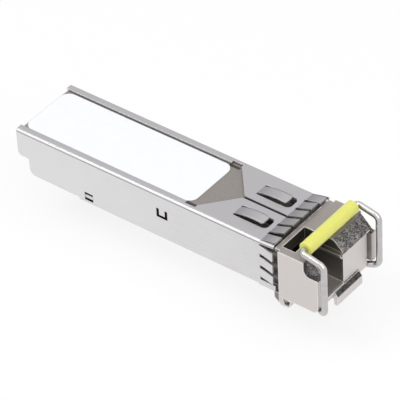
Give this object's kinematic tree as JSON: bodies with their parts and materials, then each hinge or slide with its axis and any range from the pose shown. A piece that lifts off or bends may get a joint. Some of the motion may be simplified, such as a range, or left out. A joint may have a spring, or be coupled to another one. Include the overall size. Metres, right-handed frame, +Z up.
{
  "type": "sfp plus transceiver",
  "caption": "Plug-in optical transceiver module with a folded steel shell, a die-cast nose with a fibre port and a wire bail that works a release latch",
  "frame": {"origin": "middle of the module's underside at its board end, on the line along which it slides into its cage", "axes": "X along the module from the board end to the nose, Y across with the fibre port on the -Y side, Z up from the underside to the label"},
  "size_m": [0.0579, 0.0146, 0.0126],
  "materials": {
    "cast_metal": "die-cast alloy with a fine speckled texture, nickel plated, smooth on the nose faces",
    "sheet_steel": "satin rolled sheet, a little brighter along the folds",
    "label_film": "satin white film, blank",
    "bright_wire": "bright plated wire",
    "yellow_grip": "smooth pale yellow plastic tube",
    "board": "green solder mask on glass-fibre laminate",
    "gold_plate": "gold plated",
    "chip_black": "moulded black epoxy",
    "ceramic_tan": "fired ceramic chip parts",
    "turned_steel": "turned stainless steel",
    "optic_glass": "coated clear glass",
    "flex_film": "amber polyimide film",
    "white_ceramic": "polished zirconia",
    "dark_elastomer": "conductive elastomer"
  },
  "bodies": {
    "housing": {"housing_casting": "cast_metal", "shell": "sheet_steel", "optics_retainer": "cast_metal", "label": "label_film", "lever_pin": "bright_wire", "latch_spring": "bright_wire", "circuit_board": "board", "edge_contacts": "gold_plate", "laser_driver": "chip_black", "receive_amplifier": "chip_black", "controller": "chip_black", "memory_chip": "chip_black", "capacitors": "ceramic_tan", "supply_inductors": "chip_black", "optic_body": "turned_steel", "wavelength_filter": "optic_glass", "laser_can": "gold_plate", "laser_leads": "gold_plate", "laser_flex": "flex_film", "receiver_can": "gold_plate", "receiver_leads": "gold_plate", "receiver_flex": "flex_film", "receptacle_barrel": "turned_steel", "ferrule_sleeve": "white_ceramic", "fibre_stub": "white_ceramic", "shield_gasket": "dark_elastomer"},
    "bail": {"bail_wire": "bright_wire", "bail_sleeve": "yellow_grip"},
    "lever": {"latch_lever": "cast_metal"}
  },
  "joints": [
    {"name": "bail_swing", "type": "hinge", "parent": "housing", "child": "bail", "pos_m": [0.0508, 0, -0.00035], "axis": [0, 1, 0], "range_deg": [0, 90]},
    {"name": "latch_rock", "type": "hinge", "parent": "housing", "child": "lever", "pos_m": [0.0482, 0, 0.0005], "axis": [0, 1, 0], "range_deg": [0, 10.4], "deforming": ["latch_spring"]}
  ],
  "couplings": [
    {"joint": "latch_rock", "follows": "bail_swing", "ratio": 0.114}
  ]
}
